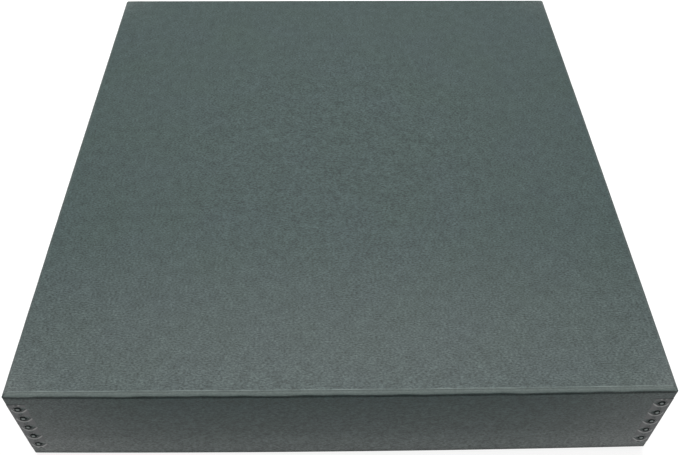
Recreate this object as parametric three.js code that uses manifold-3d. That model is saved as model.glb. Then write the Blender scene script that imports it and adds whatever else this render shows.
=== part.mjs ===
// Metal-edged archival storage box: a shallow base tray and a full-depth lid that drops over it.
// Each tray is one blank of solid board, scored and folded up on four sides. Its four upright
// corners are stayed by folded metal strips, whose prongs pierce the board and clinch inside.
// Millimetres, +Z up, front at -Y. The origin is on the table under the middle of the box.
import * as THREE from "three";
import { mergeVertices } from "three/addons/utils/BufferGeometryUtils.js";
import Module from "manifold-3d";

// Lid, outside of the board
const LID_WIDTH = 347;
const LID_LENGTH = 371;
const LID_DEPTH = 63;
const LID_TABLE_GAP = 2; // the skirt stops this far above the table
const LID_REST_GAP = 0.3; // between the base's rim and the underside of the lid's panel
const LID_RUNNING_GAP = 0.7; // between the lid's clinched prongs and the base's strips

// Board
const BOARD = 1.5;
const FOLD_BEVEL = 2.2; // flat that the wide score leaves along each folded edge
const CORNER_CRUSH = 0.8; // bevel where the strip presses an upright corner
const SEAM = 0.3; // slit between two walls at a corner

// Corner strip
const STRIP_THICKNESS = 0.4;
const STRIP_BEND = 1; // outer radius of the fold
const SEAT_GAP = 0.05; // between the strip and the board it lies on
const RIM_MARGIN = 6; // bare corner between the strip and the tray's open rim
const FOLD_MARGIN = 7; // least bare corner between the strip and the tray's folded edge
const FLANGE_LIP = 1.6; // metal between the tip of an opening and the flange's edge

// Prongs, and the teardrop openings that they are struck from
const PRONG_PITCH = 9.525;
const PRONG_ROW = 5; // from the corner to the middle of the round end of an opening
const OPENING_RADIUS = 2;
const OPENING_TIP = 3.4; // from the middle of the round end to the tip
const PRONG_WIDTH = 2;
const PRONG_REACH = 4; // clinched length on the inside of the wall
const PRONG_CLEARANCE = 0.15; // around the leg, in the board
const ARC_SEGMENTS = 6;

const STRIP_RISE = SEAT_GAP + STRIP_THICKNESS; // how far a strip or a clinched prong stands off the board
const FLANGE = PRONG_ROW + OPENING_TIP + FLANGE_LIP;
const ROOT_X = PRONG_ROW - Math.sqrt(OPENING_RADIUS ** 2 - (PRONG_WIDTH / 2) ** 2); // prong's bend line
const BOARD_GAP = 2 * STRIP_RISE + LID_RUNNING_GAP; // between the lid's walls and the base's walls
const BASE_WIDTH = LID_WIDTH - 2 * (BOARD + BOARD_GAP);
const BASE_LENGTH = LID_LENGTH - 2 * (BOARD + BOARD_GAP);
const BASE_HEIGHT = LID_TABLE_GAP + LID_DEPTH - BOARD - LID_REST_GAP;
const INNER_BEVEL = FOLD_BEVEL - (2 - Math.SQRT2) * BOARD; // keeps the board's thickness round the fold
const PAST = 1; // how far a cutting tool runs past what it cuts

const wasm = await Module();
wasm.setup();

const boardFinish = { color: 0x5b6765, roughness: 0.92, metalness: 0 };
const stripFinish = { color: 0x63635f, roughness: 0.5, metalness: 0.3 };

// The corners in turn: a quarter turn carries each one, and the strip on it, to the next.
const CORNERS = ["front_left", "front_right", "back_right", "back_left"];

function solidOf(geometry) {
  const bare = geometry.clone();
  bare.deleteAttribute("normal");
  bare.deleteAttribute("uv");
  const merged = mergeVertices(bare, 1e-5);
  const vertProperties = merged.attributes.position.array;
  const triVerts = new Uint32Array(merged.index.array);
  return new wasm.Manifold(new wasm.Mesh({ numProp: 3, vertProperties, triVerts }));
}

function geometryOf(solid) {
  const { vertProperties, triVerts } = solid.getMesh();
  const geometry = new THREE.BufferGeometry();
  geometry.setAttribute("position", new THREE.BufferAttribute(vertProperties, 3));
  geometry.setIndex(new THREE.BufferAttribute(triVerts, 1));
  geometry.computeVertexNormals();
  return geometry;
}

// A box between two corners.
function boxBetween(low, high) {
  const [sizeX, sizeY, sizeZ] = high.map((value, axis) => value - low[axis]);
  const [midX, midY, midZ] = high.map((value, axis) => (value + low[axis]) / 2);
  return solidOf(new THREE.BoxGeometry(sizeX, sizeY, sizeZ).translate(midX, midY, midZ));
}

// A prism that stands on the XY plane.
function prism(shape, height) {
  const options = { depth: height, bevelEnabled: false, curveSegments: ARC_SEGMENTS };
  return solidOf(new THREE.ExtrudeGeometry(shape, options));
}

function polygon(points) {
  return new THREE.Shape(points.map(([x, y]) => new THREE.Vector2(x, y)));
}

// A wall's section, closed side down, with both folded edges bevelled.
function foldedSection(width, height, bevel) {
  const half = width / 2;
  return polygon([
    [-half + bevel, 0],
    [half - bevel, 0],
    [half, bevel],
    [half, height],
    [-half, height],
    [-half, bevel],
  ]);
}

// The block that a folded tray fills: it meets both sections, so that the bevels mitre at the corners.
function foldedBlock(width, length, height, bevel) {
  const alongY = prism(foldedSection(width, height, bevel), length)
    .translate([0, 0, -length / 2])
    .rotate([90, 0, 0]);
  const alongX = prism(foldedSection(length, height, bevel), width)
    .translate([0, 0, -width / 2])
    .rotate([90, 0, 90]);
  return alongY.intersect(alongX);
}

// The plan of a tray, with its four upright corners crushed.
function crushedPlan(width, length) {
  const x = width / 2;
  const y = length / 2;
  const c = CORNER_CRUSH;
  return polygon([
    [-x + c, -y],
    [x - c, -y],
    [x, -y + c],
    [x, y - c],
    [x - c, y],
    [-x + c, y],
    [-x, y - c],
    [-x, -y + c],
  ]);
}

// The strips are cut to as many whole pitches as a tray's depth takes.
function prongCount(depth) {
  return Math.floor((depth - RIM_MARGIN - FOLD_MARGIN) / PRONG_PITCH);
}

// Where a strip starts, above the tray's closed face.
function stripStart(depth) {
  return depth - RIM_MARGIN - prongCount(depth) * PRONG_PITCH;
}

function prongHeights(count) {
  return Array.from({ length: count }, (_, index) => (index + 0.5) * PRONG_PITCH);
}

// Swaps X and Y, which carries a strip's one flange onto the other.
function otherFlange(solid) {
  return solid.mirror([1, -1, 0]);
}

// Both flanges' copies of something made for the flange along +X.
function onBothFlanges(solid) {
  return [solid, otherFlange(solid)];
}

// Carries something made at the front left corner to another one.
function atCorner(solid, index, width, length) {
  const turned = solid.rotate([0, 0, 90 * index]);
  const { x, y } = cornerPlace(index, width, length);
  return turned.translate([x, y, 0]);
}

function cornerPlace(index, width, length) {
  const right = index === 1 || index === 2;
  const back = index > 1;
  return { x: ((right ? 1 : -1) * width) / 2, y: ((back ? 1 : -1) * length) / 2 };
}

// The slit at a corner, where two walls of the blank meet.
function cornerSeam(depth) {
  const reach = (BOARD + PAST) * Math.SQRT2;
  const slit = boxBetween([-reach, -SEAM / 2, FOLD_BEVEL], [reach, SEAM / 2, depth + PAST]);
  return slit.rotate([0, 0, 45]);
}

// The holes that one strip's prongs pierce, at the front left corner.
function prongHoles(depth) {
  const half = PRONG_WIDTH / 2 + PRONG_CLEARANCE;
  const low = ROOT_X - STRIP_THICKNESS - PRONG_CLEARANCE;
  const high = ROOT_X + PRONG_CLEARANCE;
  return prongHeights(prongCount(depth)).flatMap((height) => {
    const middle = stripStart(depth) + height;
    return onBothFlanges(boxBetween([low, -PAST, middle - half], [high, BOARD + PAST, middle + half]));
  });
}

// A blank folded into a tray, open side up, on the XY plane.
function tray(width, length, depth) {
  const block = foldedBlock(width, length, depth, FOLD_BEVEL);
  const plan = prism(crushedPlan(width, length), depth);
  const inside = foldedBlock(width - 2 * BOARD, length - 2 * BOARD, depth, INNER_BEVEL);
  const cuts = CORNERS.flatMap((_, index) =>
    [cornerSeam(depth), ...prongHoles(depth)].map((cut) => atCorner(cut, index, width, length)),
  );
  const shell = block.intersect(plan).subtract(inside.translate([0, 0, BOARD]));
  return cuts.reduce((board, cut) => board.subtract(cut), shell);
}

// The strip's section: two flanges round the corner at the origin, with the board at +X and +Y.
function stripSection() {
  const outside = -STRIP_RISE;
  const centre = outside + STRIP_BEND;
  const innerBend = STRIP_BEND - STRIP_THICKNESS;
  const section = new THREE.Shape();
  section.moveTo(FLANGE, outside);
  section.lineTo(FLANGE, -SEAT_GAP);
  section.absarc(centre, centre, innerBend, 1.5 * Math.PI, Math.PI, true);
  section.lineTo(-SEAT_GAP, FLANGE);
  section.lineTo(outside, FLANGE);
  section.absarc(centre, centre, STRIP_BEND, Math.PI, 1.5 * Math.PI, false);
  return section;
}

// A teardrop opening through the flange along +X: its round end is towards the corner.
function opening() {
  const tangent = Math.acos(OPENING_RADIUS / OPENING_TIP);
  const drop = new THREE.Shape();
  drop.moveTo(OPENING_TIP, 0);
  drop.absarc(0, 0, OPENING_RADIUS, tangent, 2 * Math.PI - tangent, false);
  return prism(drop, STRIP_RISE + PAST)
    .rotate([90, 0, 0])
    .translate([PRONG_ROW, SEAT_GAP, 0]);
}

// A prong on the flange along +X: a leg through the wall, and a pointed end clinched on its inside.
function prong() {
  const half = PRONG_WIDTH / 2;
  const inside = BOARD + STRIP_RISE;
  const leg = boxBetween([ROOT_X - STRIP_THICKNESS, -STRIP_RISE, -half], [ROOT_X, inside, half]);
  const clinch = prism(polygon([[0, -half], [PRONG_REACH, 0], [0, half]]), STRIP_THICKNESS)
    .rotate([90, 0, 0])
    .translate([ROOT_X - STRIP_THICKNESS / 2, inside, 0]);
  return leg.add(clinch);
}

// A corner strip with its prongs clinched, standing on the XY plane at the front left corner.
function cornerStrip(count) {
  const folded = prism(stripSection(), count * PRONG_PITCH);
  return prongHeights(count).reduce((strip, height) => {
    const holes = onBothFlanges(opening().translate([0, 0, height]));
    const prongs = onBothFlanges(prong().translate([0, 0, height]));
    const pierced = holes.reduce((part, hole) => part.subtract(hole), strip);
    return prongs.reduce((part, each) => part.add(each), pierced);
  }, folded);
}

function meshOf(name, geometry, finish) {
  const mesh = new THREE.Mesh(geometry, new THREE.MeshStandardMaterial(finish));
  mesh.name = name;
  return mesh;
}

// The four strips of a tray, each its own mesh, with their lower ends at one height.
function cornerStrips(prefix, width, length, depth, bottom) {
  const geometry = geometryOf(cornerStrip(prongCount(depth)));
  return CORNERS.map((corner, index) => {
    const strip = meshOf(`${prefix}_edge_${corner}`, geometry.clone(), stripFinish);
    const { x, y } = cornerPlace(index, width, length);
    strip.position.set(x, y, bottom);
    strip.rotation.z = (index * Math.PI) / 2;
    return strip;
  });
}

function baseTray() {
  const board = meshOf("base_board", geometryOf(tray(BASE_WIDTH, BASE_LENGTH, BASE_HEIGHT)), boardFinish);
  const bottom = stripStart(BASE_HEIGHT);
  return [board, ...cornerStrips("base", BASE_WIDTH, BASE_LENGTH, BASE_HEIGHT, bottom)];
}

// The lid is the same kind of tray, turned over.
function lidTray() {
  const board = meshOf("lid_board", geometryOf(tray(LID_WIDTH, LID_LENGTH, LID_DEPTH)), boardFinish);
  board.rotation.x = Math.PI;
  board.position.z = LID_TABLE_GAP + LID_DEPTH;
  const bottom = LID_TABLE_GAP + RIM_MARGIN;
  return [board, ...cornerStrips("lid", LID_WIDTH, LID_LENGTH, LID_DEPTH, bottom)];
}

const storageBox = new THREE.Group();
storageBox.add(...baseTray(), ...lidTray());

export default storageBox;
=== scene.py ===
"""A closed archival storage box with metal-edged corners, on a pale lit floor under soft light.

The file follows the box as it is put together: the base's board, its four corner strips, the lid's
board, its strips, and then the floor, the lights and the camera. Everything is in metres.
"""
import math

import bmesh
import bpy
import numpy as np
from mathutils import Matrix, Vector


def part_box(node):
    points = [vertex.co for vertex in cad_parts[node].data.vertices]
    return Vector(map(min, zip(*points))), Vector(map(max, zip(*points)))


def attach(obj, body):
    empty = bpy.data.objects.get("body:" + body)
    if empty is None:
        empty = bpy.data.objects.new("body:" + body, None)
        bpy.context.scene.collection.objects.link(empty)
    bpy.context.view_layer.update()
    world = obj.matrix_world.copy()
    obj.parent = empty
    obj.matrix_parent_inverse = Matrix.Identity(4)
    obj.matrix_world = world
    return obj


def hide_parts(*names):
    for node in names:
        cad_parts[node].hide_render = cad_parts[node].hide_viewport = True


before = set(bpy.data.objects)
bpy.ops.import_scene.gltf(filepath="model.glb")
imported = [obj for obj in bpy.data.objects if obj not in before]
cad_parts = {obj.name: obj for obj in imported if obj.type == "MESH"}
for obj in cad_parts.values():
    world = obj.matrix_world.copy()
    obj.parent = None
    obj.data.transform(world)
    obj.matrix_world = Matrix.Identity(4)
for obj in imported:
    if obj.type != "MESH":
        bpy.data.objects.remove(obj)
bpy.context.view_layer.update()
MM = 0.001


# ---- Base board ----------------------------------------------------------------------------------
# One blank of solid board, pressed from pulp that is dyed through, with a felt-marked face. It is scored
# in a wide channel along four lines and folded up, so that every folded edge is a flat bevel between two
# creases. Stretched fibres and a painted highlight pale the outer crease, and painted shade darkens the
# lower one.
BOARD = 1.5 * MM
BEVEL = 2.2 * MM  # the bevel's width seen from above, and its drop
INNER_BEVEL = BEVEL - (2 - math.sqrt(2)) * BOARD
SCORE_LEAD = 1.8 * MM  # board on the panel's side of the fold that the scoring wheel marks
SCORE_TAIL = 2.2 * MM  # the same on the wall's side
OUTER_CREASE = 0.8 * MM  # width over which the outer face turns
INNER_CREASE = 0.6 * MM
UPPER_WANDER = 0.1 * MM  # how far the creases stray from a straight line
LOWER_WANDER = 0.2 * MM
RIDGE = 0.1 * MM  # stands up to this far above the panel, along the first crease
CHANNEL = 0.05 * MM  # sunk beside the ridge
BELLY = 0.1 * MM  # swollen across the bevel
UNDERCUT = 0.3 * MM  # crushed in below the second crease
RIM_ROUND = 0.12 * MM  # the cut rim's crown
CRUSH = 0.25 * MM  # the strip's corner crushes the walls' ends
SLIT = 0.1 * MM  # half the gap between two walls
CORNER_ROUND = 0.8 * MM
SAG = 0.5 * MM  # of a panel, in the middle
# how pale each quarter's fold is painted, as stretched fibres and highlight: the front and back folds
# catch the light, and the sides hardly do
FOLD_HIGHLIGHT = (1, 0.15, 1, 0.15)
FOLD_ROWS = 32  # of the grid over the fold
WALL_ROWS = 9  # below it, down the wall
RIM_ROWS = 4  # across the cut rim


def smooth(t):
    """Goes from 0 to 1 as t does, and is level at both ends: 3 t squared less 2 t cubed."""
    t = np.clip(t, 0, 1)
    return t * t * (3 - 2 * t)


def bump(t):
    """A bell of height 1 and half width about 1: e to the minus t squared."""
    return np.exp(-t * t)


def fold_section(bevel, crease, depth):
    """The section of one side from panel to rim, as distance run, inset from the wall and drop from the
    panel. The surface's tilt rises by 45 degrees at each end of the bevel, and the section is the
    running sum of its cosine and sine. Below the fold the wall is straight, with rows that crowd
    towards the rim."""
    slope = bevel * math.sqrt(2)
    run = np.linspace(0, SCORE_LEAD + slope + SCORE_TAIL, FOLD_ROWS)
    ends = smooth((run - SCORE_LEAD) / crease + 0.5), smooth((run - SCORE_LEAD - slope) / crease + 0.5)
    tilt = math.pi / 4 * (ends[0] + ends[1])
    step = np.diff(run)
    middle = (tilt[1:] + tilt[:-1]) / 2
    across = np.append(0, np.cumsum(np.cos(middle) * step))
    down = np.append(0, np.cumsum(np.sin(middle) * step))
    wall = down[-1] + (depth - down[-1]) * np.sin(np.linspace(0, math.pi / 2, WALL_ROWS + 1)[1:])
    inset = np.append(across[-1] - across, np.zeros(WALL_ROWS))
    drop = np.append(down, wall)
    run = np.append(run, run[-1] + wall - down[-1])
    tilt = np.append(tilt, np.full(WALL_ROWS, math.pi / 2))
    return run, inset, drop, tilt


def wander(along, seed):
    """A line's unevenness, from about -1 to 1: four sine waves of 17 to 71 mm, at seeded phases, added
    up and divided by 2.4."""
    phases = np.random.default_rng(seed).uniform(0, 2 * math.pi, 4)
    lengths = (17 * MM, 26 * MM, 43 * MM, 71 * MM)
    waves = [np.sin(2 * math.pi * along / length + phase) for length, phase in zip(lengths, phases)]
    return sum(waves) / 2.4


def grid(points, marks, flip=False):
    """Part of a piece: a grid of points, shaped rows by columns by 3, its quads, and a value a point
    for each mark."""
    rows, columns = points.shape[:2]
    corner = np.arange(rows - 1)[:, None] * columns + np.arange(columns - 1)[None, :]
    quads = np.stack([corner, corner + 1, corner + columns + 1, corner + columns], axis=-1).reshape(-1, 4)
    values = {name: np.broadcast_to(value, (rows, columns)).ravel() for name, value in marks.items()}
    return {"points": points.reshape(-1, 3), "faces": quads[:, ::-1] if flip else quads, "marks": values}


def new_piece(name, parts, mark_names):
    """A mesh object of all the parts, with the points that meet welded, and each mark as an attribute."""
    mesh = bpy.data.meshes.new(name)
    starts = np.cumsum([0] + [len(part["points"]) for part in parts])
    faces = np.concatenate([part["faces"] + start for part, start in zip(parts, starts)])
    mesh.from_pydata(np.concatenate([part["points"] for part in parts]), [], faces)
    for mark in mark_names:
        values = [part["marks"].get(mark, np.zeros(len(part["points"]))) for part in parts]
        attribute = mesh.attributes.new(mark, "FLOAT", "POINT")
        attribute.data.foreach_set("value", np.concatenate(values).astype(np.float32))
    piece = bpy.data.objects.new(name, mesh)
    bpy.context.scene.collection.objects.link(piece)
    weld(mesh)
    return piece


def weld(mesh, distance=0.002 * MM):
    """Merges the points that grids share, and shades the mesh smooth between its sharp edges."""
    shape = bmesh.new()
    shape.from_mesh(mesh)
    bmesh.ops.remove_doubles(shape, verts=shape.verts, dist=distance)
    shape.to_mesh(mesh)
    shape.free()
    mesh.shade_smooth()
    mesh.set_sharp_from_angle(angle=math.radians(50))


def side_nodes():
    """Where the grid's lines cross a side, from -1 to 1: even along it, and crowded in its last 3 mm."""
    half = np.concatenate([np.linspace(0, 0.985, 56), [0.99, 0.994, 0.997, 0.999, 1]])
    return np.concatenate([-half[:0:-1], half])


def turned(points, quarter):
    """Points turned by quarter turns about Z."""
    x, y, z = np.moveaxis(points, -1, 0)
    for _ in range(quarter):
        x, y = -y, x
    return np.stack([x, y, z], axis=-1)


def folded_side(half_along, half_out, depth, quarter, seed):
    """One folded side of a tray as a grid, and its two cut ends. Its rows run from the outer face of
    the panel over the fold, down the wall, round the rim and back up the inside to the panel, and its
    columns run along the side. At its ends the folds of two sides share a mitre, and below them the
    walls part by a slit."""
    run, inset, drop, tilt = fold_section(BEVEL, OUTER_CREASE, depth - RIM_ROUND)
    _, inner_inset, inner_drop, _ = fold_section(INNER_BEVEL, INNER_CREASE, depth - RIM_ROUND - BOARD)
    inner_inset = inner_inset + BOARD
    inner_drop = inner_drop + BOARD
    seam = FOLD_ROWS - 1
    # from the seam down, the mitre opens over 1 mm into the slit between two walls
    parted = smooth((drop - drop[seam]) / MM)
    inner_parted = smooth((inner_drop - inner_drop[seam]) / MM)
    end = np.maximum(inset, CRUSH * parted)
    inner_end = inner_inset + SLIT * inner_parted
    across = np.linspace(0, 1, RIM_ROWS + 2)[1:-1]
    rim_inset = across * BOARD
    rim_drop = depth - RIM_ROUND * np.abs(2 * across - 1) ** 3
    rim_end = end[-1] + (inner_end[-1] - end[-1]) * across

    nodes = side_nodes()
    edge = np.concatenate([end, rim_end, inner_end[::-1]])
    along = nodes[None, :] * (half_along - edge[:, None])
    out = half_out - np.concatenate([inset, rim_inset, inner_inset[::-1]])[:, None] + 0 * along
    up = np.concatenate([drop, rim_drop, inner_drop[::-1]])[:, None] + 0 * along

    # distances from the two creases, which wander, place the fold's relief and then its marks
    slope = BEVEL * math.sqrt(2)
    faded = smooth((1 - np.abs(nodes)) * half_along / (5 * MM))[None, :]
    line = along[: len(run)]
    first = run[:, None] - SCORE_LEAD - UPPER_WANDER * wander(line, seed)
    second = run[:, None] - SCORE_LEAD - slope - LOWER_WANDER * wander(line, seed + 1)
    strength = np.clip(1 + 0.35 * wander(line, seed + 2), 0.4, 1.35)
    ridge = bump((first - 0.1 * MM) / (0.3 * MM)) * strength
    channel = bump((first - 0.8 * MM) / (0.3 * MM))
    band = smooth(first / (0.6 * MM)) * smooth((-second - 0.1 * MM) / (0.6 * MM))
    belly = bump((run[:, None] - SCORE_LEAD - 0.55 * slope) / (0.8 * MM))
    undercut = bump((second - 0.7 * MM) / (0.5 * MM)) * (1 + 0.3 * wander(line, seed + 3))
    relief = faded * (RIDGE * ridge / 1.5 - CHANNEL * channel + BELLY * belly - UNDERCUT * undercut)
    out[: len(run)] += np.sin(tilt)[:, None] * relief
    up[: len(run)] -= np.cos(tilt)[:, None] * relief
    up = up + RIDGE

    # the ridge and the bevel are paler, from stretched fibres and a painted highlight; painted shade
    # darkens the crease below them and the wall's foot, where the rim's shadow falls; and painted light
    # pales the walls towards the rim, where the floor's light falls, and near the corners, lit from the
    # sides
    rows, columns = along.shape
    stretch_and_highlight = np.zeros((rows, columns))
    painted_shade = np.zeros((rows, columns))
    crease_shade = 0.75 * bump((second - 0.45 * MM) / (0.75 * MM))
    to_mitre = smooth((1 - np.abs(nodes)) * half_along / (1.2 * MM))[None, :]
    stretch_and_highlight[: len(run)] = to_mitre * np.maximum(ridge, 0.85 * band) * FOLD_HIGHLIGHT[quarter]
    painted_shade[: len(run)] = to_mitre * np.clip(crease_shade + 0.15 * channel, 0, 1)
    cut = np.zeros((rows, 1))
    cut[len(run) : len(run) + RIM_ROWS] = 1
    inside = np.zeros((rows, 1))
    inside[len(run) + RIM_ROWS :] = 1
    rubbed = 0.5 * np.clip(up / depth, 0, 1) ** 1.3
    rubbed = rubbed + 0.3 * bump((half_along - np.abs(along)) / (45 * MM)) * smooth(up / (4 * MM))
    rubbed[: len(run)] += 0.2 * band * FOLD_HIGHLIGHT[quarter]
    rubbed = rubbed * (1 - inside) * (1 - cut)
    painted_shade += (1 - inside) * bump((depth - up) / (0.9 * MM))
    marks = {"rubbed": rubbed, "stretch_and_highlight": stretch_and_highlight, "painted_shade": painted_shade, "cut": cut, "inside": inside}
    face = turned(np.stack([along, -out, up], axis=-1), quarter)

    parts = [grid(face, marks)]
    share = np.linspace(0, 1, RIM_ROWS + 2)[None, :, None]
    for column, flip in ((0, True), (-1, False)):
        outer = face[seam : len(run), column]
        inner = face[::-1][seam : len(run), column]
        end_face = outer[:, None] + (inner - outer)[:, None] * share
        end_face[-1] = face[len(run) - 1 : len(run) + RIM_ROWS + 1, column]
        parts.append(grid(end_face, {"cut": 1.0}, flip))
    return parts


def folded_tray(low, high, bows, droops, seed, closed_up):
    """All of a tray's board in its place: a panel's two faces and four folded sides. The panel sags in
    the middle, each wall bows in or out towards its middle, and the upright corners are rounded. bows
    are the outward bows of the front, right, back and left walls, and droops are how far the middle of
    the front wall's fold and rim hang below their ends."""
    half_x, half_y = (high.x - low.x) / 2, (high.y - low.y) / 2
    depth = high.z - low.z - RIDGE
    parts = []
    for quarter in range(4):
        halves = (half_x, half_y) if quarter % 2 == 0 else (half_y, half_x)
        parts += folded_side(*halves, depth, quarter, seed + 10 * quarter)
    nodes = side_nodes()
    for bevel, crease, lift, flip, inside in (
        (BEVEL, OUTER_CREASE, 0, True, 0.0),
        (INNER_BEVEL, INNER_CREASE, BOARD, False, 1.0),
    ):
        margin = fold_section(bevel, crease, depth)[1][0] + lift
        x, y = np.meshgrid(nodes * (half_x - margin), nodes * (half_y - margin))
        points = np.stack([x, y, np.full_like(x, RIDGE + lift)], axis=-1)
        parts.append(grid(points, {"inside": inside, "cut": 0.0}, flip))

    for part in parts:
        x, y, z = part["points"].T.copy()
        height = z / depth
        # painted sheen pales the panel's outer face a little all over, and more near the front and the
        # corners
        hidden = np.maximum(part["marks"].get("inside", 0), part["marks"]["cut"])
        on_panel = smooth(1.5 - z / MM) * (1 - hidden)
        if closed_up:
            y = -y
            z = high.z - low.z - z
        nearer = smooth((-y / half_y - 0.3) / 0.7)
        cornered = np.abs(x / half_x) ** 12 * np.abs(y / half_y) ** 12
        rubbed = on_panel * (0.1 + 0.14 * nearer + 0.3 * cornered)
        part["marks"]["rubbed"] = part["marks"].get("rubbed", 0) + rubbed
        # points past the corner's quarter circle are drawn in to it
        over_x = CORNER_ROUND - half_x + np.abs(x)
        over_y = CORNER_ROUND - half_y + np.abs(y)
        reach = np.hypot(over_x, over_y)
        tight = (over_x > 0) & (over_y > 0) & (reach > CORNER_ROUND)
        pull = np.where(tight, CORNER_ROUND / np.maximum(reach, MM / 1000), 1)
        x = np.sign(x) * np.where(tight, half_x - CORNER_ROUND + over_x * pull, np.abs(x))
        y = np.sign(y) * np.where(tight, half_y - CORNER_ROUND + over_y * pull, np.abs(y))
        over_panel = (1 - (x / half_x) ** 2).clip(0) ** 2 * (1 - (y / half_y) ** 2).clip(0) ** 2
        z = z + (-1 if closed_up else 1) * SAG * over_panel
        # a wall's bow is a parabola along it, and dies away as the eighth power of the way to the middle
        front, right, back, left = bows
        middle_x = (1 - (x / half_x) ** 2).clip(0)
        middle_y = (1 - (y / half_y) ** 2).clip(0)
        bow_y = np.where(y < 0, -front, back) * np.abs(y / half_y) ** 8 * middle_x
        bow_x = np.where(x < 0, -left, right) * np.abs(x / half_x) ** 8 * middle_y
        droop = droops[0] + (droops[1] - droops[0]) * height
        z = z - np.where(y < 0, droop, 0) * np.abs(y / half_y) ** 8 * middle_x
        part["points"] = np.stack([x + bow_x, y + bow_y, z + low.z], axis=-1)
    return parts


def linear(hex_colour):
    """An sRGB hex colour as the linear values that shaders take."""
    srgb = [int(hex_colour[i : i + 2], 16) / 255 for i in (1, 3, 5)]
    return (*(c / 12.92 if c <= 0.04045 else ((c + 0.055) / 1.055) ** 2.4 for c in srgb), 1.0)


def add_node(tree, kind, inputs=None, **settings):
    """Adds a node with its settings. Each input is linked if it is given a socket, and set if it is
    given a value. Inputs go by name, or by number where names repeat: a colour Mix has its share at 0
    and its two colours at 6 and 7."""
    node = tree.nodes.new(kind)
    for name, value in settings.items():
        setattr(node, name, value)
    for name, value in (inputs or {}).items():
        socket = node.inputs[name]
        if isinstance(value, bpy.types.NodeSocket):
            tree.links.new(value, socket)
        else:
            socket.default_value = value
    return node


def solid_board():
    """Solid board: matt, felt-marked and uncoated, so it has hardly any gloss. Clumps of dyed fibres
    fleck it over a faint cloudiness. Painted light greys and pales it, stretched fibres and a painted
    highlight pale the bevel, painted shade darkens the creases and hollows and takes away their gloss, and
    a cut edge shows pale core."""
    material = bpy.data.materials.new("solid_board_dyed_felt_marked")
    material.use_nodes = True
    tree = material.node_tree
    tree.nodes.clear()
    place = add_node(tree, "ShaderNodeTexCoord").outputs["Object"]
    # fibres are 20 to 40 microns thick, so single ones don't show: a fleck is a clump of them, about
    # 1.4 mm long and half as wide, and they lie along the blank
    grain_run = (1 / (1.4 * MM), 1 / (0.7 * MM), 1 / (0.9 * MM))
    along = add_node(tree, "ShaderNodeMapping", {"Vector": place, "Scale": grain_run})
    fleck = add_node(
        tree,
        "ShaderNodeTexNoise",
        {"Vector": along.outputs[0], "Scale": 1.0, "Detail": 3.0, "Roughness": 0.62},
    )
    cloud = add_node(
        tree,
        "ShaderNodeTexNoise",
        {"Vector": place, "Scale": 1 / (38 * MM), "Detail": 4.0, "Roughness": 0.6},
    )
    felt = add_node(
        tree,
        "ShaderNodeTexNoise",
        {"Vector": place, "Scale": 1 / (6 * MM), "Detail": 3.0, "Roughness": 0.6},
    )
    cloudy = add_node(
        tree,
        "ShaderNodeMix",
        {0: cloud.outputs["Fac"], 6: linear("#2c3d38"), 7: linear("#2f3d3f")},
        data_type="RGBA",
    )
    fleck_strength = add_node(
        tree,
        "ShaderNodeMapRange",
        {"Value": fleck.outputs["Fac"], "From Min": 0.3, "From Max": 0.7, "To Min": 0.4, "To Max": 1.6},
    )
    felt_strength = add_node(
        tree,
        "ShaderNodeMapRange",
        {"Value": felt.outputs["Fac"], "From Min": 0.3, "From Max": 0.7, "To Min": 0.86, "To Max": 1.14},
    )
    strength = add_node(
        tree,
        "ShaderNodeMath",
        {0: fleck_strength.outputs[0], 1: felt_strength.outputs[0]},
        operation="MULTIPLY",
    )
    marks = {
        name: add_node(tree, "ShaderNodeAttribute", attribute_name=name).outputs["Fac"]
        for name in BOARD_MARKS
    }
    # painted light: board that is marked with it is mixed towards a pale grey
    painted_pale = add_node(
        tree,
        "ShaderNodeMix",
        {0: marks["rubbed"], 6: cloudy.outputs[2], 7: linear("#6c6f6e")},
        data_type="RGBA",
    )
    face = add_node(
        tree,
        "ShaderNodeVectorMath",
        {0: painted_pale.outputs[2], "Scale": strength.outputs[0]},
        operation="SCALE",
    )
    # each mark mixes its tint in, up to a share
    colour = face.outputs[0]
    shares = {}
    for mark, most, tint in (
        ("inside", 0.35, "#56615e"),
        # stretched fibres and a painted highlight
        ("stretch_and_highlight", 0.5, "#87938f"),
        # painted shade, nearly black
        ("painted_shade", 0.65, "#070909"),
        ("cut", 0.8, "#5c6664"),
    ):
        share = add_node(
            tree, "ShaderNodeMath", {0: marks[mark], 1: most}, operation="MULTIPLY", use_clamp=True
        )
        shares[mark] = share.outputs[0]
        tinted = add_node(
            tree, "ShaderNodeMix", {0: shares[mark], 6: colour, 7: linear(tint)}, data_type="RGBA"
        )
        colour = tinted.outputs[2]
    grain = add_node(
        tree,
        "ShaderNodeTexNoise",
        {"Vector": place, "Scale": 1 / (0.45 * MM), "Detail": 2.0, "Roughness": 0.6},
    )
    height = add_node(
        tree,
        "ShaderNodeMath",
        {0: fleck.outputs["Fac"], 1: 0.6, 2: grain.outputs["Fac"]},
        operation="MULTIPLY_ADD",
    )
    relief = add_node(
        tree,
        "ShaderNodeBump",
        {"Height": height.outputs[0], "Strength": 0.5, "Distance": 0.12 * MM},
    )
    rough = add_node(
        tree,
        "ShaderNodeMapRange",
        {"Value": fleck.outputs["Fac"], "From Min": 0.3, "From Max": 0.7, "To Min": 0.5, "To Max": 0.6},
    )
    sheen = add_node(
        tree,
        "ShaderNodeMath",
        {0: shares["painted_shade"], 1: -0.2, 2: 0.2},
        operation="MULTIPLY_ADD",
        use_clamp=True,
    )
    surface = add_node(
        tree,
        "ShaderNodeBsdfPrincipled",
        {
            "Base Color": colour,
            "Roughness": rough.outputs[0],
            "Normal": relief.outputs[0],
            "IOR": 1.47,
            "Specular IOR Level": sheen.outputs[0],
        },
    )
    add_node(tree, "ShaderNodeOutputMaterial", {"Surface": surface.outputs[0]})
    return material


BOARD_MARKS = ("rubbed", "stretch_and_highlight", "painted_shade", "cut", "inside")
board_material = solid_board()


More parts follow.
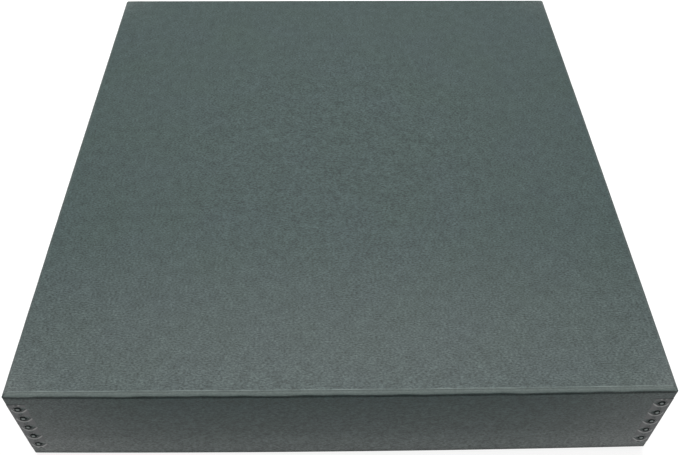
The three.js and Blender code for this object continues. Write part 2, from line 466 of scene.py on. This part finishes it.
# ---- Corner strips' sizes, which the board takes its dents from ----------------------------------
# The strips are rolled from tinplate and stove enamelled to match the board. A punch strikes teardrop
# openings at an even pitch and turns the tongue of each one in as a prong, which pierces the wall and
# is clinched inside.
CORNERS = ("front_left", "front_right", "back_right", "back_left")
PRONG_PITCH = 9.525 * MM
PRONG_ROW = 5 * MM  # from the corner to the round end's middle
OPENING_RADIUS = 2 * MM
OPENING_TIP = 3.4 * MM  # from the round end's middle to the tip
FLANGE = 10 * MM
SHEET = 0.25 * MM
RISE = 0.16 * MM  # the strip's outer face stands this far off the board at the corner
FLANGE_RISE = 0.08 * MM  # and this far at the flange's edge, which is hammered almost flush
RIM_LEVEL = -0.02 * MM  # an opening's rim is turned in to this level
BEND = 1 * MM  # the strip's outer radius at the corner
LIP = 0.04 * MM  # stands up just outside an opening's rim
DENT = 0.28 * MM  # the punch's marks are this deep
HAMMERED = 0.06 * MM  # the flange's edge is beaten this much lower
PRONG_HALF_WIDTH = 1 * MM
PILLOW = 0.33 * MM  # the board swells this far out in an opening
PILLOW_FOOT = 1.6 * MM  # the pillow's radius at its foot
PILLOW_FLANK = 1.1 * MM  # and how wide its flank is
RING = 1.5 * MM  # radius of the ring of painted shade round it
SWELLING_EDGE = 0.08 * MM  # and stands this far out beside the opening's rim


def teardrop(angle, radius, tip):
    """The distance from the round end's middle to the outline, at an angle from the tip. Two lines from
    the tip touch the circle at the angle whose cosine is radius over tip. Past that the distance is the
    radius, and short of it the radius over the cosine of the angle still to go."""
    touch = math.acos(radius / tip)
    turn = np.abs((angle + math.pi) % (2 * math.pi) - math.pi)
    return radius / np.cos(np.maximum(touch - turn, 0))


def strip_heights(low, high):
    """The middles of a strip's openings: half a pitch from each end, and a pitch apart."""
    count = round((high.z - low.z) / PRONG_PITCH)
    return low.z + (np.arange(count) + 0.5) * (high.z - low.z) / count


def at_corner(points, corner, board_low, board_high):
    """Points made at the front left corner, carried to another by quarter turns."""
    quarter = CORNERS.index(corner)
    x = board_low.x if quarter in (0, 3) else board_high.x
    y = board_low.y if quarter in (0, 1) else board_high.y
    return turned(points, quarter) + np.array([x, y, 0])


def swelling(middle, uneven):
    """The board pressed up in one opening of the front wall's flange: a teardrop cap, with a round
    pillow near its middle and a sunken ring round that, which goes under the wall's face at its edge
    and is closed behind. A painted highlight pales the pillow, and painted shade darkens the ring and
    the cap's upper edge. uneven is three seeded numbers for the pillow's place and height."""
    share = np.array([0, 0.12, 0.24, 0.36, 0.46, 0.56, 0.68, 0.82, 0.94, 1.0, 0.6, 0.0])[:, None]
    angle = np.linspace(0, 2 * math.pi, 33)[None, :]
    reach = share * teardrop(angle, OPENING_RADIUS, OPENING_TIP)
    across = reach * np.cos(angle) - 0.25 * MM * uneven[0]
    above = reach * np.sin(angle) - 0.25 * MM * uneven[1]
    out = np.hypot(across, above)
    pillow = (PILLOW + 0.04 * MM * uneven[2]) * smooth((PILLOW_FOOT - out) / PILLOW_FLANK)
    behind = np.array([0] * 9 + [1, 2, 2])[:, None]  # the last rings go under the face, and shut the cap
    height = SWELLING_EDGE + pillow * (behind == 0) - 0.2 * MM * behind
    u = PRONG_ROW + reach * np.cos(angle)
    z = middle + reach * np.sin(angle)
    points = np.stack([u, -height + 0 * reach, z], axis=-1)
    # painted shade in the ring and under the cap's upper edge, and a painted highlight on the pillow
    edge = smooth((share - 0.72) / 0.2) * (0.45 + 0.35 * np.sin(angle))
    painted_shade = np.clip(1.6 * bump((out - RING) / (0.5 * MM)) + edge, 0, 1.4)
    highlighted = smooth((1.15 * MM - out) / (0.4 * MM))
    return points, {"painted_shade": painted_shade, "rubbed": highlighted, "stretch_and_highlight": highlighted}


def swellings(prefix, board_low, board_high):
    """Every swelling of a tray's board, on both flanges of its four corners."""
    parts = []
    uneven = np.random.default_rng(7)
    for corner in CORNERS:
        for middle in strip_heights(*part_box(f"{prefix}_edge_{corner}")):
            points, marks = swelling(middle, uneven.uniform(-1, 1, 3))
            swapped = points[..., [1, 0, 2]]
            parts.append(grid(at_corner(points, corner, board_low, board_high), marks, flip=True))
            parts.append(grid(at_corner(swapped, corner, board_low, board_high), marks))
    return parts


def board_piece(prefix, bows, droops, seed, closed_up):
    """A tray's whole board as one piece, standing for its CAD node."""
    node = f"{prefix}_board"
    low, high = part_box(node)
    parts = folded_tray(low, high, bows, droops, seed, closed_up) + swellings(prefix, low, high)
    piece = new_piece(f"{prefix}_folded_board", parts, BOARD_MARKS)
    piece.data.materials.append(board_material)
    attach(piece, prefix)
    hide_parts(node)


base_bows = (-0.3 * MM, 0.2 * MM, -0.2 * MM, 0.3 * MM)
board_piece("base", base_bows, (0, 0), seed=100, closed_up=False)


# ---- Base corner strips --------------------------------------------------------------------------
# Four strips of enamelled tinplate stay the base's corners, hammered on and clinched. The enamel is a
# thin satin coat. Painted shade darkens the punched rims and dents, and a painted highlight pales the
# lips below them.
CELL_UP = 20  # grid steps up one pitch
CELL_ACROSS = 24  # and across a flange
# where a cell's rings lie, from the opening's outline, at 0, to the cell's edge, at 1
RINGS = np.array([0, 0.05, 0.1, 0.16, 0.24, 0.34, 0.46, 0.6, 0.76, 0.9, 1.0])


def dent_mark(u, v):
    """The strength, 0 to 1, of the punch's marks: a dent halfway to each neighbour and a groove above
    the tip, each a bell stretched along a slanting line."""
    strength = 0
    # place from the round end's middle, slant in degrees, half length and half width
    for du, dv, slant, length, width in (
        (0.1 * MM, PRONG_PITCH / 2, 50, 1.4 * MM, 0.7 * MM),
        (0.1 * MM, -PRONG_PITCH / 2, 50, 1.4 * MM, 0.7 * MM),
        (2.7 * MM, 1.6 * MM, -25, 1.5 * MM, 0.7 * MM),
    ):
        turn = math.radians(slant)
        along = (u - PRONG_ROW - du) * math.cos(turn) + (v - dv) * math.sin(turn)
        across = (v - dv) * math.cos(turn) - (u - PRONG_ROW - du) * math.sin(turn)
        strength = strength + bump(along / length) * bump(across / width)
    return strength


def flange_height(u, v, from_rim, to_end):
    """How far the flange's outer face stands off the board, u from the corner and v above the opening's
    middle. It falls smoothly to the flange's edge and to the strip's cut ends, turns in at the
    opening's rim, rises to a lip just outside that, and has the punch's dents."""
    height = RISE - (RISE - FLANGE_RISE) * smooth((u - PRONG_ROW) / (FLANGE - PRONG_ROW))
    lip = bump((from_rim - 1.0 * MM) / (0.35 * MM))
    edge = smooth((u - FLANGE + 0.5 * MM) / (0.5 * MM))
    ends = smooth(1 - to_end / (0.8 * MM))
    height = height + LIP * lip - DENT * dent_mark(u, v) - HAMMERED * edge
    height = height + (FLANGE_RISE - height) * ends * (1 - edge)
    rim = 1 - smooth(from_rim / (0.6 * MM))
    return height + (RIM_LEVEL - height) * rim


def flange_cell(middle, low_z, high_z):
    """One pitch of the front wall's flange as a grid of rings, from the teardrop's outline out to a
    rectangle. Each ring's point lies between the outline and the rectangle's edge on one ray from the
    round end's middle. Painted shade darkens the rim, most on its upper side, and the dents, and a
    painted highlight pales the lip below the opening and two burrs at a cut end."""
    up = np.linspace(-PRONG_PITCH / 2, PRONG_PITCH / 2, CELL_UP + 1)
    start = BEND - RISE
    across = np.linspace(start, FLANGE, CELL_ACROSS + 1) - PRONG_ROW
    u = np.concatenate([np.full(CELL_UP, across[-1]), across[:0:-1], np.full(CELL_UP, across[0]), across])
    v = np.concatenate([up[:-1], np.full(CELL_ACROSS, up[-1]), up[:0:-1], np.full(CELL_ACROSS + 1, up[0])])
    angle = np.arctan2(v, u)
    outline = teardrop(angle, OPENING_RADIUS, OPENING_TIP)
    reach = np.hypot(u, v)
    distance = (outline[None, :] + RINGS[:, None] * (reach - outline)[None, :]) / reach[None, :]
    from_rim = RINGS[:, None] * (reach - outline)[None, :]
    u = u[None, :] * distance + PRONG_ROW
    v = v[None, :] * distance
    to_end = np.minimum(middle + v - low_z, high_z - middle - v)
    height = flange_height(u, v, from_rim, to_end)
    # painted shade at the rim, deeper on the upper side, and in the dents; a painted highlight on the
    # lower lip and on two burrs at a cut end
    upper = smooth(0.5 + v / (2 * MM))
    painted_shade = 1 - smooth(from_rim / ((0.95 + 0.15 * upper) * MM)) + 0.9 * dent_mark(u, v)
    painted_pale = (1 - upper) * bump((from_rim - 1.3 * MM) / (0.4 * MM))
    burr = bump((to_end - 0.9 * MM) / (0.5 * MM))
    burr = burr * bump((np.abs(u - PRONG_ROW - 0.2 * MM) - 1.2 * MM) / (0.5 * MM))
    marks = {"painted_shade": np.clip(painted_shade, 0, 1), "painted_pale": np.clip(painted_pale + burr, 0, 1)}
    return np.stack([u, -height, middle + v], axis=-1), marks


def strip_bend(low_z, high_z):
    """The strip's fold: a quarter circle from one flange to the other, carried up the strip and closed
    in on the board at its cut ends."""
    count = round((high_z - low_z) / PRONG_PITCH) * CELL_UP + 1
    z = np.linspace(low_z, high_z, count)[:, None]
    angle = np.linspace(1.5 * math.pi, math.pi, 9)[None, :]
    ends = (RISE - FLANGE_RISE) * smooth(1 - np.minimum(z - low_z, high_z - z) / (0.8 * MM))
    centre = BEND - RISE
    radius = BEND - ends
    x = centre + radius * np.cos(angle)
    y = centre + radius * np.sin(angle)
    # the bend is painted darker towards its middle
    painted_shade = 0.6 * np.sin(2 * (angle - math.pi))
    return np.stack([x, y, z + 0 * x], axis=-1), {"painted_shade": painted_shade}


def prong(middle):
    """A prong on the front wall's flange: a flat tongue carried along its centre line, which leaves the
    rim on the corner's side, turns down through the board on a quarter circle, turns out on another and
    is clinched to the wall's inner face. Its width tapers along the clinch, and its section is a
    squared oval."""
    turn = 0.3 * MM
    leg = PRONG_ROW - 1.75 * MM  # just inside the rim, on the corner's side
    quarter = np.linspace(0, math.pi / 2, 7)
    inner = -BOARD - SHEET / 2
    clinch = np.linspace(0, 1, 9)[1:]
    u = np.concatenate([[leg - 0.75 * MM], leg - turn + turn * np.sin(quarter)])
    h = np.concatenate([[0.02 * MM], -turn + turn * np.cos(quarter)])
    u = np.concatenate([u, leg + turn - turn * np.cos(quarter), leg + turn + clinch * 3.3 * MM])
    arch = 0.06 * MM * np.sin(math.pi * clinch)
    h = np.concatenate([h, inner + turn - turn * np.sin(quarter), inner - arch])
    taper = np.concatenate([np.ones(len(u) - len(clinch)), 1 - 0.88 * clinch**1.4])
    along = np.stack([np.gradient(u), np.gradient(h)], axis=-1)
    along /= np.linalg.norm(along, axis=1, keepdims=True)
    angle = np.linspace(0, 2 * math.pi, 17)[None, :]
    wide = np.sign(np.cos(angle)) * np.abs(np.cos(angle)) ** 0.5 * PRONG_HALF_WIDTH * taper[:, None]
    thick = np.sign(np.sin(angle)) * np.abs(np.sin(angle)) ** 0.5 * SHEET / 2
    x = u[:, None] - along[:, 1:] * thick
    height = h[:, None] + along[:, :1] * thick
    points = np.stack([x, -height, middle + wide], axis=-1)
    tips = points[[0, -1]].mean(axis=1, keepdims=True) + 0 * points[[0, -1]]
    return np.concatenate([tips[:1], points, tips[1:]])


def strip_piece(prefix, corner):
    """One corner strip with its prongs. The outer face is worked out and given its thickness, the
    prongs are added, and the whole stands for its CAD node."""
    node = f"{prefix}_edge_{corner}"
    low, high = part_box(node)
    board_low, board_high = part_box(f"{prefix}_board")
    middles = strip_heights(low, high)
    skin = []
    tongues = []
    for middle in middles:
        points, marks = flange_cell(middle, low.z, high.z)
        tongue = prong(middle)
        # the side wall's flange is the front one's mirror image in the corner's diagonal
        for swap, flip in (([0, 1, 2], False), ([1, 0, 2], True)):
            skin.append(grid(at_corner(points[..., swap], corner, board_low, board_high), marks, not flip))
            turned_tongue = at_corner(tongue[..., swap], corner, board_low, board_high)
            tongues.append(grid(turned_tongue, {"painted_pale": 0.1}, flip))
    points, marks = strip_bend(low.z, high.z)
    skin.append(grid(at_corner(points, corner, board_low, board_high), marks, flip=True))

    strip = new_piece(f"{prefix}_corner_strip_{corner}", skin, STRIP_MARKS)
    thickness = strip.modifiers.new("thickness", "SOLIDIFY")
    thickness.thickness = SHEET
    thickness.offset = -1
    thickness.use_even_offset = True
    prongs = new_piece(f"{prefix}_prongs_{corner}", tongues, STRIP_MARKS)
    solid = bpy.data.meshes.new_from_object(strip.evaluated_get(bpy.context.evaluated_depsgraph_get()))
    strip.modifiers.clear()
    strip.data = solid
    with bpy.context.temp_override(active_object=strip, selected_editable_objects=[strip, prongs]):
        bpy.ops.object.join()
    strip.data.materials.clear()
    strip.data.materials.append(strip_material)
    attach(strip, prefix)
    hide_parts(node)


def enamelled_tinplate():
    """Stove enamel on tinplate: a thin satin paint, evenly coloured, with a faint orange peel. Painted
    shade makes it dark and dull in a punched rim, and a painted highlight pales it on a lip."""
    material = bpy.data.materials.new("stove_enamel_on_tinplate")
    material.use_nodes = True
    tree = material.node_tree
    tree.nodes.clear()
    place = add_node(tree, "ShaderNodeTexCoord").outputs["Object"]
    mottle = add_node(
        tree,
        "ShaderNodeTexNoise",
        {"Vector": place, "Scale": 1 / (2.5 * MM), "Detail": 3.0, "Roughness": 0.6},
    )
    peel = add_node(
        tree,
        "ShaderNodeTexNoise",
        {"Vector": place, "Scale": 1 / (0.5 * MM), "Detail": 1.0, "Roughness": 0.5},
    )
    coat = add_node(
        tree,
        "ShaderNodeMix",
        {0: mottle.outputs["Fac"], 6: linear("#353839"), 7: linear("#3b3e3f")},
        data_type="RGBA",
    )
    painted_pale = add_node(tree, "ShaderNodeAttribute", attribute_name="painted_pale").outputs["Fac"]
    painted_shade = add_node(tree, "ShaderNodeAttribute", attribute_name="painted_shade").outputs["Fac"]
    # a painted highlight mixes towards pale grey, and painted shade towards near black
    rubbed = add_node(tree, "ShaderNodeMath", {0: painted_pale, 1: 0.75}, operation="MULTIPLY", use_clamp=True)
    highlighted = add_node(
        tree,
        "ShaderNodeMix",
        {0: rubbed.outputs[0], 6: coat.outputs[2], 7: linear("#9a9c9a")},
        data_type="RGBA",
    )
    colour = add_node(
        tree,
        "ShaderNodeMix",
        {0: painted_shade, 6: highlighted.outputs[2], 7: linear("#060707")},
        data_type="RGBA",
    )
    relief = add_node(
        tree, "ShaderNodeBump", {"Height": peel.outputs["Fac"], "Strength": 0.25, "Distance": 0.05 * MM}
    )
    rough = add_node(
        tree,
        "ShaderNodeMapRange",
        {"Value": mottle.outputs["Fac"], "From Min": 0.3, "From Max": 0.7, "To Min": 0.42, "To Max": 0.52},
    )
    sheen = add_node(
        tree,
        "ShaderNodeMath",
        {0: painted_shade, 1: -0.5, 2: 0.5},
        operation="MULTIPLY_ADD",
        use_clamp=True,
    )
    surface = add_node(
        tree,
        "ShaderNodeBsdfPrincipled",
        {
            "Base Color": colour.outputs[2],
            "Roughness": rough.outputs[0],
            "Normal": relief.outputs[0],
            "IOR": 1.5,
            "Specular IOR Level": sheen.outputs[0],
        },
    )
    add_node(tree, "ShaderNodeOutputMaterial", {"Surface": surface.outputs[0]})
    return material


STRIP_MARKS = ("painted_shade", "painted_pale")
strip_material = enamelled_tinplate()
for corner in CORNERS:
    strip_piece("base", corner)


# ---- Lid board -----------------------------------------------------------------------------------
# The lid is the same kind of blank, a little larger, folded the other way up. It drops over the whole
# depth of the base, and its front wall bows out and hangs a little in the middle.
lid_bows = (0.42 * MM, 0.3 * MM, 0.1 * MM, 0.3 * MM)
lid_droops = (0.5 * MM, 1.7 * MM)
board_piece("lid", lid_bows, lid_droops, seed=300, closed_up=True)


# ---- Lid corner strips ---------------------------------------------------------------------------
# Four more of the enamelled tinplate strips stay the lid's corners. Each is hammered on and clinched
# like the base's, and stops a little short of the fold and of the rim.
for corner in CORNERS:
    strip_piece("lid", corner)


# ---- Floor ---------------------------------------------------------------------------------------
# A light table: one sheet of opal acrylic, far wider than the box and lit evenly from below, so that it
# is nearly white even in the box's shadow.
def light_table():
    """A flat square 6 m across, under the box."""
    mesh = bpy.data.meshes.new("light_table")
    half = 3.0
    corners = [(-half, -half, 0), (half, -half, 0), (half, half, 0), (-half, half, 0)]
    mesh.from_pydata(corners, [], [(0, 1, 2, 3)])
    floor = bpy.data.objects.new("light_table", mesh)
    bpy.context.scene.collection.objects.link(floor)
    material = bpy.data.materials.new("opal_acrylic_lit_from_below")
    material.use_nodes = True
    tree = material.node_tree
    tree.nodes.clear()
    place = add_node(tree, "ShaderNodeTexCoord").outputs["Object"]
    # a fine matt tooth, which keeps the sheet from mirroring the box
    tooth = add_node(tree, "ShaderNodeTexNoise", {"Vector": place, "Scale": 1 / (2 * MM), "Detail": 2.0})
    relief = add_node(
        tree, "ShaderNodeBump", {"Height": tooth.outputs["Fac"], "Strength": 0.05, "Distance": 0.05 * MM}
    )
    surface = add_node(
        tree,
        "ShaderNodeBsdfPrincipled",
        {
            "Base Color": linear("#7c7c7c"),
            "Roughness": 0.9,
            "Specular IOR Level": 0.2,
            "Normal": relief.outputs[0],
            "Emission Color": (1.0, 1.0, 1.0, 1.0),
            "Emission Strength": 0.85,
        },
    )
    add_node(tree, "ShaderNodeOutputMaterial", {"Surface": surface.outputs[0]})
    mesh.materials.append(material)


light_table()


# ---- Lights --------------------------------------------------------------------------------------
# A softbox overhead and behind, a wide weak one over the whole table, a weak one at the back for the
# sheen, a faint strip close to the front wall's foot, and a pale glow of the room at the horizon.
def softbox(name, place, target, size, power):
    """A rectangular light of a size at a place, facing a target."""
    light = bpy.data.lights.new(name, "AREA")
    light.shape = "RECTANGLE"
    light.size, light.size_y = size
    light.energy = power
    box = bpy.data.objects.new(name, light)
    box.location = place
    box.rotation_euler = (Vector(target) - Vector(place)).to_track_quat("-Z", "Y").to_euler()
    box.visible_camera = False
    bpy.context.scene.collection.objects.link(box)


softbox("overhead_softbox", (0, 0.3, 1.5), (0, 0.1, 0), (1.2, 1.0), 34)
softbox("wide_softbox", (0, 0, 1.7), (0, 0, 0), (3.0, 3.0), 12)
softbox("back_softbox", (0, 1.3, 0.9), (0, 0, 0), (1.6, 0.8), 4)
softbox("foot_light", (0, -0.215, 0.022), (0, -0.214, 0), (0.37, 0.04), 0.02)

world = bpy.data.worlds.new("room")
world.use_nodes = True
room = world.node_tree
room.nodes.clear()
# pale at the horizon, and almost dark from 15 degrees up
direction = add_node(room, "ShaderNodeTexCoord").outputs["Generated"]
upward = add_node(room, "ShaderNodeSeparateXYZ", {"Vector": direction}).outputs["Z"]
glow = add_node(
    room,
    "ShaderNodeMapRange",
    {"Value": upward, "From Min": 0.0, "From Max": 0.25, "To Min": 0.5, "To Max": 0.02},
)
background = add_node(
    room, "ShaderNodeBackground", {"Color": linear("#ffffff"), "Strength": glow.outputs[0]}
)
add_node(room, "ShaderNodeOutputWorld", {"Surface": background.outputs[0]})
bpy.context.scene.world = world


# ---- Camera --------------------------------------------------------------------------------------
# Held above the front edge, tipped down a little under 48 degrees from level, and almost square to
# the box.
STANDOFF = 0.2041  # before the lid's front wall
RAISED = 0.348  # above the lid's top
SIDEWAYS = -0.0056
lid_low, lid_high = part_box("lid_board")
camera_data = bpy.data.cameras.new("camera")
camera_data.lens = 41.06
camera_data.sensor_width = 36
camera_data.shift_x = -0.0038
camera_data.shift_y = 0.0002
camera = bpy.data.objects.new("camera", camera_data)
camera.location = (SIDEWAYS, lid_low.y - STANDOFF, lid_high.z + RAISED)
camera.rotation_euler = (math.radians(42.4), math.radians(-0.41), math.radians(-0.85))
bpy.context.scene.collection.objects.link(camera)
bpy.context.scene.camera = camera
bpy.context.scene.view_settings.view_transform = "Standard"
